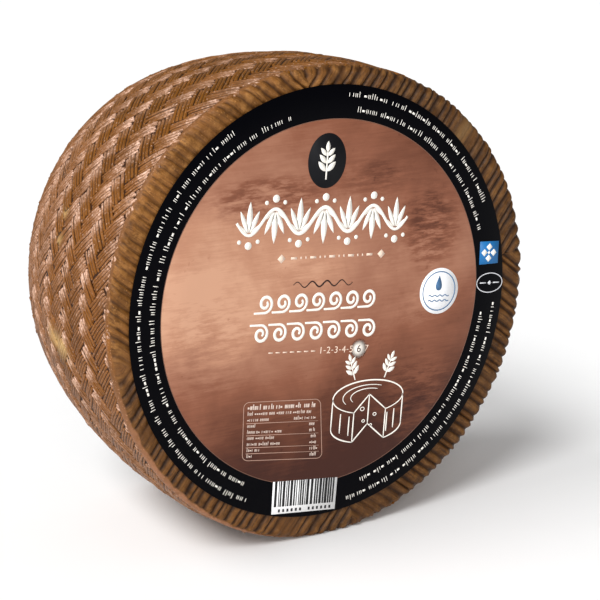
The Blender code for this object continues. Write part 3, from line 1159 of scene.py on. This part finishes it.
def garland(stem, upper, lower):
    """Band of the label's largest print: a waving stem with a fan of leaves in every bend.

    The fans that open upward and those that open downward lie in layers of their own, so that
    no two shapes share a plane where they meet.
    """
    centre, turn = (-1.6, 36.4), radians(-4.5)
    half, bends, swing = 41.5, 7, 5.2
    along = np.linspace(-1, 1, 141)
    path = stack(along * half, swing * np.cos(along * bends / 2 * pi))
    stem.ribbon(turned(path, turn, centre), 1.1 + 0.6 * np.cos(along * pi / 2))
    for k in range(bends):
        x = (2 * (k + 0.5) / bends - 1) * half
        side = float(np.sign(cos(x / half * bends / 2 * pi)))
        fan = lower if side > 0 else upper
        size = 14.2 - 0.5 * abs(k - (bends - 1) / 2)
        for tilt, share in ((0, 1.0), (24, 0.78), (-24, 0.78), (50, 0.5), (-50, 0.5)):
            heading = radians(-90 * side + tilt)
            start = (x + cos(heading), side * swing + sin(heading))
            base = turned(start, turn, centre)
            fan.slab(leaf(size * share, size * share * 0.21, base, turn + heading))
        berries = ((0, 4.2, 3.2, 20), (-4.3, 2.6, 1.8, 16), (4.3, 2.6, 1.8, 16))
        for aside, out, wide, count in berries:
            berry = turned((x + aside, side * (swing + out)), turn, centre)
            fan.slab(ellipse(wide, wide, count) + berry)


def fine_row(mark, white_ends, centre, length, turn, gap):
    """Row of small upright bars and dots, centred on a point, with a diamond at each end."""
    widths = np.array((2.6, *(0.6, 0.6, 2.6) * 4))
    spans = widths + gap
    starts = np.cumsum(spans) - spans
    scale = length / (spans.sum() - gap)
    x = (starts + widths / 2) * scale - length / 2
    mark.bars(turned(stack(x, 0), turn, centre), widths * scale, 1.0, turn)
    for end in (-white_ends, white_ends):
        diamond = ((-1.9, 0), (0, -1.9), (1.9, 0), (0, 1.9))
        mark.slab(turned(diamond, PRINT_TURN, turned((end, 0), turn, centre)))


def scroll(mark, start, end, flip, count=7, height=7.6, width=1.35):
    """Running scroll: waves whose crests curl in as spirals of shrinking radius."""
    start, end = np.asarray(start, float), np.asarray(end, float)
    step = (end - start) / count
    turn = np.arctan2(step[1], step[0])
    pitch = np.hypot(*step)
    share = np.linspace(0, 1, 34)
    angle = radians(-90) + share * radians(500)
    radius = height * 0.5 * (1 - 0.80 * share) ** 0.9
    curl = stack(radius * np.cos(angle) * 0.92, radius * np.sin(angle))
    lead = np.linspace((-pitch * 0.62, -height * 0.5), (-pitch * 0.12, -height * 0.5), 5)
    path = np.concatenate([lead, curl]) * (1, -1 if flip else 1)
    thick = width * (0.55 + 0.45 * np.sin(pi * np.linspace(0.05, 0.9, len(path))))
    for k in range(count):
        mark.ribbon(turned(path, turn, start + step * (k + 0.5)), thick)


def number(name, digit, size, centre, turn, layer, material):
    """Plain figure made from the default font, turned into a mesh and then placed."""
    text = bpy.data.curves.new(name, "FONT")
    text.body = digit
    text.size = size * MM
    text.align_x, text.align_y = "CENTER", "CENTER"
    text.extrude = LAYER / 2
    text.resolution_u = 4
    holder = bpy.data.objects.new(name, text)
    bpy.context.scene.collection.objects.link(holder)
    graph = bpy.context.evaluated_depsgraph_get()
    mesh = bpy.data.meshes.new_from_object(holder.evaluated_get(graph))
    bpy.data.objects.remove(holder)
    bpy.data.curves.remove(text)
    shift = Matrix.Translation(on_label(centre, PAPER_FRONT - (layer - 0.5) * LAYER))
    # A turn seen from the front is a turn about -Y, and the quarter about X stands the text up
    mesh.transform(shift @ Matrix.Rotation(-turn, 4, "Y") @ Matrix.Rotation(pi / 2, 4, "X"))
    mesh.materials.clear()
    finish_piece(name, mesh, material, "label")


def number_scale(cream):
    """The numbers 1 to 7 with short strokes between them, and a pale glow round the six."""
    first, last = np.array((-3.2, -19.0)), np.array((19.6, -21.6))
    step = (last - first) / 6
    turn = float(np.arctan2(step[1], step[0]))
    six = first + step * 5
    strokes, glow = Print(2), Print(2)
    strokes.bars([first + step * (k + 0.5) for k in range(4)], 1.0, 0.34, turn)
    strokes.bars([first - step * (1.0 + 0.9 * k) for k in range(7)], 2.1, 0.5, turn)
    strokes.make("scale_strokes", cream)
    glow.slab(ellipse(8.2, 9.0, 40) + first + step * 5)
    glow.make("scale_glow", glow_material("scale_glow", six))
    dark = print_material("scale_dark", tint(60, 34, 26))
    for k in range(7):
        size, layer, ink = (4.6, 3, dark) if k == 5 else (4.1, 2, cream)
        number(f"scale_{k + 1}", str(k + 1), size, first + step * k, turn, layer, ink)


def glow_material(name, centre):
    """Soft round glow that fades to nothing at its edge, through the shader's alpha."""
    shader = Shader(name, Roughness=0.5)
    x, _, z = on_label(centre, 0.0)
    ball = shader.ball(x, z, 4.3 * MM, 4.3 * MM)
    shader.set(Base_Color=tint(255, 246, 235), Alpha=shader.curve(ball, 0.0, 0.75, 0.0, 0.95))
    return shader.material


class CHEESE_OT_label_bands(bpy.types.Operator):
    """Build the garland, the scroll rows, the fine rows and the number scale"""

    bl_idname = "cheese.label_bands"
    bl_label = "Label bands"

    def execute(self, context):
        white = print_material("bands_white", context.scene.cheese_label.white)
        parts = (Print(4), Print(3), Print(2))
        garland(*parts)
        for part, name in zip(parts, ("garland_stem", "garland_up", "garland_down")):
            part.make(name, white)
        rows, fine, dark = Print(2), Print(2), Print(2)
        scroll(rows, (-34.0, 5.2), (24.6, 0.2), False)
        scroll(rows, (-36.6, -7.2), (24.8, -13.4), True)
        rows.make("scroll_rows", white)
        fine_row(fine, 24.5, (2.2, 20.6), 40, radians(-4.6), 1.5)
        cream = print_material("fine_cream", tint(240, 214, 194))
        fine.make("fine_row", cream)
        along = np.linspace(-1, 1, 61)
        wave = stack(along * 14.5, 1.2 * np.sin(along * 4 * pi))
        dark.ribbon(turned(wave, radians(-5), (-2.1, 9.6)), 0.75 * (1 - 0.6 * np.abs(along)))
        dark.make("dark_flourish", print_material("flourish_dark", tint(48, 26, 20)))
        number_scale(cream)
        return {"FINISHED"}


def in_corners(corners, points):
    """Points of the unit square, carried into four corners: top left, top right, bottom right,
    bottom left. Each is the mean of the corners, weighted by its shares across and down."""
    corners, points = np.asarray(corners, float), np.asarray(points, float)
    x, y = points[:, :1], points[:, 1:]
    top = corners[0] * (1 - x) + corners[1] * x
    bottom = corners[3] * (1 - x) + corners[2] * x
    return top * (1 - y) + bottom * y


def rounded_square(radius_x, radius_y):
    """Unit square with rounded corners, run anticlockwise in its own downward coordinates."""
    corners = ((1 - radius_x, 1 - radius_y), (radius_x, 1 - radius_y), (radius_x, radius_y),
               (1 - radius_x, radius_y))
    parts = []
    for k, (x, y) in enumerate(corners):
        arc = np.linspace(0, pi / 2, 6) + k * pi / 2
        parts.append(stack(x + radius_x * np.cos(arc), y + radius_y * np.sin(arc)))
    return np.concatenate(parts)


def word_bars(rng, length, height, pitch, stroke):
    """Rows of small upright strokes in groups, like a line of fine print seen from afar.

    The results are the strokes' centres, widths and heights.
    """
    x, bars, low = 0.0, [], height * 0.68
    while x < length - pitch:
        for _ in range(int(rng.integers(3, 9))):
            if x > length - pitch:
                break
            kind = rng.integers(0, 6)
            if kind == 5:
                bars.append((x + pitch * 0.4, -height * 0.02, pitch * 0.7, height * 0.36))
            else:
                tall = height if kind == 0 else low
                bars.append((x + pitch * 0.2, (tall - low) / 2, stroke, tall))
                if kind in (2, 3):
                    bars.append((x + pitch * 0.62, 0, stroke, low))
            x += pitch * (0.62 if kind in (0, 1) else 1.0)
        x += pitch * 0.75
    bars = np.array(bars)
    return bars[:, :2], bars[:, 2], bars[:, 3]


# The table's rows from the top. Each piece of print has its start and length as shares of
# the row, then its height, pitch and stroke in millimetres
TABLE_CORNERS = ((-40.3, -35.3), (-3.3, -40.0), (-2.5, -66.3), (-41.4, -60.2))
TABLE_LABELS = (0.34, 0.16, 0.5, 0.42, 0.47, 0.2, 0.1)
TABLE_FIGURES = (0.34, 0.12, 0.12, 0.1, 0.12, 0.12, 0.12)
TABLE_ROWS = (
    ((0, 1, 2.3, 1.25, 0.48),),
    ((0, 0.96, 1.7, 0.95, 0.26),),
    *(((0, text, 1.6, 0.95, 0.24), (1 - figure, figure, 1.7, 0.95, 0.26))
      for text, figure in zip(TABLE_LABELS, TABLE_FIGURES)),
)
RULED_ROWS = (2, 4, 6, 7)
STRIPES_CORNERS = ((-26.6, -72.3), (5.3, -76.4), (4.0, -90.5), (-27.6, -86.6))


def build_table(label):
    """Ruled table with rows of fine marks."""
    rules, text = Print(2), Print(2)
    line_width = label.line / MM
    outline = in_corners(TABLE_CORNERS, rounded_square(0.07, 0.09))[::-1]
    rules.ribbon(outline, line_width * 0.8, closed=True)
    rng = np.random.default_rng(TABLE_SEED)
    for k, level in enumerate(np.linspace(0.1, 0.93, len(TABLE_ROWS))):
        left, right = in_corners(TABLE_CORNERS, ((0.05, level), (0.95, level)))
        turn = float(np.arctan2(*(right - left)[::-1]))
        span = float(np.hypot(*(right - left)))
        for start, share, *sizes in TABLE_ROWS[k]:
            centres, widths, heights = word_bars(rng, span * share, *sizes)
            text.bars(turned(centres + (span * start, 0), turn, left), widths, heights, turn)
        if k in RULED_ROWS:
            line = in_corners(TABLE_CORNERS, ((0.04, level + 0.055), (0.96, level + 0.055)))
            rules.ribbon(np.linspace(line[0], line[1], 3), line_width * 0.7)
    rules.make("table_rules", print_material("table_rule", tint(186, 150, 132)))
    text.make("table_marks", print_material("table_white", tint(226, 205, 192)))


def build_drawing(label):
    """A whole cheese with a wedge taken out, drawn in thin white lines."""
    mark = Print(2)
    centre = (20.3, -49.5)
    wide, flat, tall = 36.0, 14.5, 13.0
    cut = (248, 302)

    def line(path, width=0.62):
        taper = 0.55 + 0.45 * np.sin(pi * np.linspace(0.06, 0.94, len(path)))
        mark.ribbon(turned(path, PRINT_TURN, centre), width * taper)

    def straight(start, end):
        line(np.linspace(start, end, 9))

    up, down = np.array((0, tall / 2)), np.array((0, -tall / 2))
    line(ellipse(wide, flat, 60, cut[1], 360 - cut[1] + cut[0]) + up)
    line(ellipse(wide, flat, 22, 180, cut[0] - 180) + down)
    line(ellipse(wide, flat, 22, cut[1], 360 - cut[1]) + down)
    for side in (-wide / 2, wide / 2):
        straight((side, tall / 2), (side, -tall / 2))
    heart = np.array((0.6, 1.0))
    for angle in cut:
        rim = np.array((wide / 2 * cos(radians(angle)), flat / 2 * sin(radians(angle))))
        straight(heart + up, rim + up)
        straight(rim + up, rim + down)
        straight(heart + down, rim + down)
    straight(heart + up, heart + down)
    for x, y, size in ((-2.6, 1.2, 2.0), (-1.6, -4.2, 1.4), (4.0, -1.6, 1.6), (2.4, -6.2, 1.1)):
        hole = turned(ellipse(size, size * 0.8, 18) + (x, y), PRINT_TURN, centre)
        mark.ribbon(hole, 0.34, closed=True)
    for share in (0.72, 0.5):
        line(ellipse(wide * share, flat * share, 30, 60, 150) + up, 0.4)
    for x in (-13.5, -9.0, 10.5, 14.0):
        y = -flat / 2 * np.sqrt(1 - (2 * x / wide) ** 2)
        straight((x, y + tall * 0.36), (x, y - tall * 0.30))
    for x, lean in ((9.5, radians(-24)), (-9.5, radians(14))):
        sprig(mark, turned((x, 20.0), PRINT_TURN, centre), 12.0, lean)
    mark.make("cheese_drawing", print_material("drawing_white", label.white))


def build_stripes():
    """White field with stripes of random widths and gaps, and a row of small squares."""
    ground, mark = Print(2), Print(3)
    ground.slab(STRIPES_CORNERS[::-1])
    ground.make("stripe_ground", print_material("stripe_white", tint(250, 250, 250)))
    rng = np.random.default_rng(STRIPES_SEED)
    boxes, across = [], 0.03
    while across < 0.96:
        width = float(rng.choice((0.014, 0.024, 0.038)))
        boxes.append((across, 0.0, across + width, 0.78))
        across += width + float(rng.choice((0.011, 0.015, 0.024)))
    for step in range(12):
        start = 0.10 + 0.066 * step + (0.07 if step > 5 else 0)
        boxes.append((start, 0.86, start + 0.03, 0.95))
    for left, top, right, bottom in boxes:
        square = ((left, top), (right, top), (right, bottom), (left, bottom))
        mark.slab(in_corners(STRIPES_CORNERS, square)[::-1])
    mark.make("stripes", print_material("stripe_black", tint(22, 22, 24)))


class CHEESE_OT_label_panels(bpy.types.Operator):
    """Build the ruled table, the cheese drawing and the striped panel"""

    bl_idname = "cheese.label_panels"
    bl_label = "Label panels"

    def execute(self, context):
        build_table(context.scene.cheese_label)
        build_drawing(context.scene.cheese_label)
        build_stripes()
        return {"FINISHED"}


class CHEESE_OT_label_badges(bpy.types.Operator):
    """Build the round badge, the blue square and the white oval outline"""

    bl_idname = "cheese.label_badges"
    bl_label = "Label badges"

    def execute(self, context):
        label = context.scene.cheese_label
        badge, oval, turn = np.array((57.0, -1.6)), (84.3, -1.6), radians(-5)
        ground, lines = Print(2), Print(3)
        ground.slab(turned(ellipse(20.2, 20.2, 72), turn, badge))
        ground.make("badge_ground", print_material("badge_white", tint(252, 253, 255)))
        lines.ribbon(turned(ellipse(17.0, 17.0, 72), turn, badge), 0.45, closed=True)
        share = np.linspace(0, 1, 25)
        for y in (-2.1, -4.3):
            wave = stack(-5.4 + 10.8 * share, y + 0.35 * np.sin(4 * tau * share))
            lines.ribbon(turned(wave, turn, badge), 0.42)
        share = np.linspace(0, 1, 40, endpoint=False) * tau
        drop = stack(2.3 * np.sin(share) * np.sin(share / 2) ** 1.5, 3.4 * np.cos(share))
        lines.slab(turned(drop[::-1], turn, badge + (0, 3.6)))
        lines.make("badge_lines", print_material("badge_blue", label.steel))

        square, marks, outline = Print(2), Print(3), Print(2)
        square.slab(((78.4, 7.2), (88.5, 6.7), (88.9, 16.6), (78.7, 17.4)))
        square.make("blue_square", print_material("square_blue", label.blue))
        around = ((0.0, 2.5), (2.5, 0.0), (0.0, -2.5), (-2.5, 0.0), (0.0, 0.0))
        sides = (2.3, 2.3, 2.3, 2.3, 1.1)
        marks.bars(turned(around, turn, (83.6, 12.0)), sides, sides, turn + pi / 4)
        marks.make("square_marks", print_material("square_white", label.white))

        outline.ribbon(turned(ellipse(13.9, 8.6, 64), turn, oval), 0.38, closed=True)
        row = turned(((-3.6, 0.0), (0.0, 0.0), (3.6, 0.0)), turn, oval)
        outline.bars(row, (3.4, 1.5, 3.4), (0.5, 1.5, 0.5), turn + np.array((0, pi / 4, 0)))
        outline.make("oval_outline", print_material("outline_grey", tint(216, 216, 220)))
        return {"FINISHED"}


# Rows of fine marks round the black ring: start and end angle, radius in millimetres
RING_ROWS = (
    (243.0, 118.5, 87.3),
    (240.0, 101.5, 81.3),
    (83.5, 22.0, 87.3),
    (80.0, 16.0, 81.3),
    (-7.0, -84.0, 87.3),
    (-10.0, -79.0, 81.3),
)


class CHEESE_OT_label_ring(bpy.types.Operator):
    """Build the two rows of fine marks round the black ring"""

    bl_idname = "cheese.label_ring"
    bl_label = "Label ring marks"

    def execute(self, context):
        rng = np.random.default_rng(RING_SEED)
        marks = Print(2)
        for start, end, radius in RING_ROWS:
            length = radians(start - end) * radius
            centres, widths, heights = word_bars(rng, length, 2.3, 1.9, 0.27)
            # The row runs clockwise with its foot toward the centre
            angle = radians(start) - centres[:, 0] / radius
            reach = radius + centres[:, 1]
            flat = stack(reach * np.cos(angle), reach * np.sin(angle))
            marks.bars(flat, widths, heights, angle - pi / 2)
        white = print_material("ring_white", context.scene.cheese_label.white)
        marks.make("ring_marks", white)
        return {"FINISHED"}


# Stage

VIEW_AZIMUTH, VIEW_ELEVATION = radians(-31.99), radians(14.79)
VIEW_DISTANCE = 750 * MM
VIEW_SHIFT = np.array((-12.76, 2.52)) * MM
LENS, SENSOR = 108.6, 36.0
FLOOR_REACH, FLOOR_DROP = 6.0, 0.02 * MM
FLOOR_SHADE = 0.985
# The lights: the setting of its strength, a point that it comes from, its spread in degrees
LIGHTS = (
    ("key", (-0.80, -0.5, 0.92), 24),
    ("back", (-0.80, 0.24, 1.0), 30),
    ("front", (-0.5, -0.85, 0.22), 40),
)


class CHEESE_OT_stage(bpy.types.Operator):
    """Build the floor, the lights and the camera"""

    bl_idname = "cheese.stage"
    bl_label = "Stage"

    def execute(self, context):
        scene, stage = context.scene, context.scene.cheese_stage
        shader = Shader("floor", Roughness=0.9)
        shade = tuple(value * FLOOR_SHADE for value in stage.floor)
        shader.set(Base_Color=shader.mix(shader.noise(30.0, 2.0), stage.floor, shade))
        mesh = bpy.data.meshes.new("floor")
        corners = [
            (x * FLOOR_REACH, y * FLOOR_REACH, -FLOOR_DROP)
            for x, y in ((-1, -1), (1, -1), (1, 1), (-1, 1))
        ]
        mesh.from_pydata(corners, [], [(0, 1, 2, 3)])
        mesh.materials.append(shader.material)
        floor = bpy.data.objects.new("floor", mesh)
        scene.collection.objects.link(floor)
        floor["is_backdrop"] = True

        for name, source, spread in LIGHTS:
            lamp = bpy.data.lights.new(name, "SUN")
            lamp.energy = getattr(stage, name)
            lamp.angle = radians(spread)
            item = bpy.data.objects.new(name, lamp)
            item.location = source
            item.rotation_euler = (-Vector(source)).to_track_quat("-Z", "Y").to_euler()
            scene.collection.objects.link(item)
        world = bpy.data.worlds.new("studio")
        world.use_nodes = True
        background = world.node_tree.nodes["Background"]
        background.inputs["Color"].default_value = (1, 1, 1, 1)
        background.inputs["Strength"].default_value = stage.sky
        scene.world = world
        scene.view_settings.view_transform = "Standard"
        scene.view_settings.look = "None"

        turn, lift = VIEW_AZIMUTH, VIEW_ELEVATION
        right = np.array((cos(turn), sin(turn), 0))
        back = np.array((sin(turn) * cos(lift), -cos(turn) * cos(lift), sin(lift)))
        up = np.cross(back, right)
        spot = FACE_MIDDLE + VIEW_DISTANCE * back + VIEW_SHIFT[0] * right + VIEW_SHIFT[1] * up
        data = bpy.data.cameras.new("camera")
        data.lens, data.sensor_width, data.sensor_fit = LENS, SENSOR, "HORIZONTAL"
        data.clip_start, data.clip_end = 0.01, 100
        camera = bpy.data.objects.new("camera", data)
        axes = Matrix((right, up, back)).transposed().to_4x4()
        camera.matrix_world = Matrix.Translation(spot) @ axes
        scene.collection.objects.link(camera)
        scene.camera = camera
        return {"FINISHED"}


# Panel and registration

STEPS = (
    CHEESE_OT_stage,
    CHEESE_OT_rind_body,
    CHEESE_OT_plait,
    CHEESE_OT_label_paper,
    CHEESE_OT_label_emblem,
    CHEESE_OT_label_bands,
    CHEESE_OT_label_panels,
    CHEESE_OT_label_badges,
    CHEESE_OT_label_ring,
)


class CHEESE_PT_panel(bpy.types.Panel):
    """Sidebar panel with every setting and every step of the cheese."""

    bl_idname = "CHEESE_PT_panel"
    bl_label = "Aged Sheep Cheese"
    bl_space_type = "VIEW_3D"
    bl_region_type = "UI"
    bl_category = "Cheese"

    def draw(self, context):
        scene = context.scene
        for settings in (scene.cheese_rind, scene.cheese_label, scene.cheese_stage):
            box = self.layout.box()
            for key in settings.bl_rna.properties.keys():
                if key not in ("rna_type", "name"):
                    box.prop(settings, key)
        for step in STEPS:
            self.layout.operator(step.bl_idname)


CLASSES = (RindSettings, LabelSettings, StageSettings, *STEPS, CHEESE_PT_panel)


def register():
    for item in CLASSES:
        bpy.utils.register_class(item)
    bpy.types.Scene.cheese_rind = PointerProperty(type=RindSettings)
    bpy.types.Scene.cheese_label = PointerProperty(type=LabelSettings)
    bpy.types.Scene.cheese_stage = PointerProperty(type=StageSettings)


def unregister():
    del bpy.types.Scene.cheese_stage
    del bpy.types.Scene.cheese_label
    del bpy.types.Scene.cheese_rind
    for item in reversed(CLASSES):
        bpy.utils.unregister_class(item)


def main():
    register()
    for step in STEPS:
        group, name = step.bl_idname.split(".")
        getattr(getattr(bpy.ops, group), name)()
    boxes = {"cad": CAD_BOX, "visual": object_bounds()}
    plain = {key: [list(corner) for corner in box] for key, box in boxes.items()}


if __name__ == "__main__":
    main()
